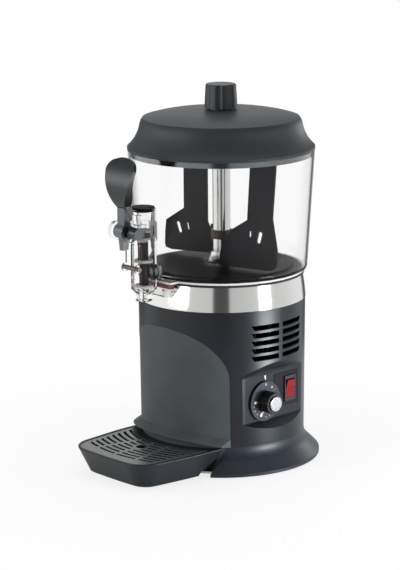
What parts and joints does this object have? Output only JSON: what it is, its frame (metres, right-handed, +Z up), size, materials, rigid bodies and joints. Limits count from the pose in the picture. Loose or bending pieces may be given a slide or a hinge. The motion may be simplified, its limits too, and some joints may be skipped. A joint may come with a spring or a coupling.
{
  "type": "hot chocolate dispenser",
  "caption": "Upright countertop hot drink dispenser: round heated base, clear lift-off bowl with a lidded top, turning stirrer, pull-lever tap and slide-out drip tray.",
  "frame": {"origin": "middle of the footprint at table level; the drum axis stands 39 mm behind it", "axes": "+Z up, -Y out of the front where the tap and tray are, +X to the side with the controls"},
  "size_m": [0.251, 0.3281, 0.48],
  "materials": {
    "charcoal_plastic": "satin moulded",
    "lid_plastic": "satin moulded",
    "panel_plastic": "fine matte texture",
    "tray_plastic": "satin moulded",
    "black_plastic": "semi-gloss",
    "lever_plastic": "satin moulded",
    "stirrer_plastic": "matte moulded",
    "brown_plastic": "satin",
    "piston_plastic": "semi-gloss",
    "red_plastic": "translucent gloss",
    "clear_plastic": "clear polished",
    "nylon": "moulded",
    "phenolic": "moulded",
    "polished_steel": "mirror polished",
    "tube_steel": "fine brushed",
    "plain_steel": "plain rolled",
    "stack_steel": "laminated",
    "copper_wire": "enamelled winding",
    "plate_coating": "dark non-stick coating",
    "silver_cap": "spun satin",
    "black_rubber": "matte",
    "seal_rubber": "matte silicone",
    "pale_rubber": "translucent silicone",
    "bush_bronze": "sintered",
    "switch_print": "printed foil"
  },
  "bodies": {
    "machine": {"rubber_feet": "black_rubber", "base_plate": "plain_steel", "base_skirt": "charcoal_plastic", "housing_drum": "charcoal_plastic", "front_panel": "panel_plastic", "switch_plate": "switch_print", "rocker_bezel": "black_plastic", "thermostat_body": "phenolic", "thermostat_bulb": "copper_wire", "safety_cutout": "phenolic", "terminal_block": "nylon", "cable_gland": "black_plastic", "gland_nut": "black_plastic", "tie_rods": "plain_steel", "tie_nuts": "plain_steel", "tank": "polished_steel", "heater_element": "plain_steel", "bowl_gasket": "black_rubber", "heating_plate": "plate_coating", "column_tube": "tube_steel", "column_foot": "polished_steel", "column_bushes": "bush_bronze", "idler_pin": "plain_steel", "gearbox_base": "stack_steel", "gearbox_cover": "stack_steel", "motor_bracket": "plain_steel", "motor_stator": "stack_steel", "motor_coil": "copper_wire"},
    "stirrer": {"stirrer": "stirrer_plastic", "stirrer_bush": "brown_plastic", "drive_shaft": "tube_steel", "output_gear": "nylon"},
    "idler": {"idler_gear": "nylon"},
    "rotor": {"motor_rotor": "plain_steel"},
    "bowl": {"bowl": "clear_plastic", "outlet_seal": "seal_rubber", "tap_body": "clear_plastic", "tap_cap": "black_plastic", "pivot_pin": "black_plastic", "stop_pin": "brown_plastic"},
    "piston": {"tap_piston": "piston_plastic", "piston_seals": "pale_rubber"},
    "lever": {"tap_lever": "lever_plastic", "lever_grip": "black_plastic"},
    "lid": {"lid": "lid_plastic", "lid_knob": "lid_plastic", "lid_screw": "plain_steel"},
    "dial": {"thermostat_dial": "black_plastic", "dial_cap": "silver_cap"},
    "rocker": {"rocker_button": "red_plastic"},
    "tray": {"drip_tray": "tray_plastic"},
    "grille": {"drip_grille": "tray_plastic"}
  },
  "joints": [
    {"name": "stirrer_turn", "type": "hinge", "parent": "machine", "child": "stirrer", "pos_m": [0, 0.039, 0.2], "axis": [0, 0, 1], "continuous": true},
    {"name": "idler_turn", "type": "hinge", "parent": "machine", "child": "idler", "pos_m": [-0.016, 0.06671, 0.13], "axis": [0, 0, 1], "continuous": true},
    {"name": "rotor_turn", "type": "hinge", "parent": "machine", "child": "rotor", "pos_m": [-0.04371, 0.05071, 0.13], "axis": [0, 0, 1], "continuous": true},
    {"name": "bowl_lift", "type": "slide", "parent": "machine", "child": "bowl", "axis": [0, 0, 1], "range_m": [0, 0.15]},
    {"name": "lid_lift", "type": "slide", "parent": "bowl", "child": "lid", "axis": [0, 0, 1], "range_m": [0, 0.12]},
    {"name": "lever_pull", "type": "hinge", "parent": "bowl", "child": "lever", "pos_m": [0, -0.1255, 0.3135], "axis": [1, 0, 0], "range_deg": [0, 28]},
    {"name": "piston_lift", "type": "slide", "parent": "bowl", "child": "piston", "axis": [0, 0, 1], "range_m": [0, 0.0165]},
    {"name": "dial_turn", "type": "hinge", "parent": "machine", "child": "dial", "pos_m": [0.0925, 0.024, 0.0881], "axis": [1, 0, 0], "range_deg": [-240, 0]},
    {"name": "rocker_tip", "type": "hinge", "parent": "machine", "child": "rocker", "pos_m": [0.0945, 0.0683, 0.0973], "axis": [0, 1, 0], "range_deg": [-16, 0]},
    {"name": "tray_slide", "type": "slide", "parent": "machine", "child": "tray", "axis": [0, -1, 0], "range_m": [0, 0.16]},
    {"name": "grille_lift", "type": "slide", "parent": "tray", "child": "grille", "axis": [0, 0, 1], "range_m": [0, 0.06]}
  ],
  "couplings": [
    {"joint": "idler_turn", "follows": "stirrer_turn", "ratio": -3},
    {"joint": "rotor_turn", "follows": "stirrer_turn", "ratio": 9},
    {"joint": "piston_lift", "follows": "lever_pull", "m_per_rad": 0.0331}
  ]
}
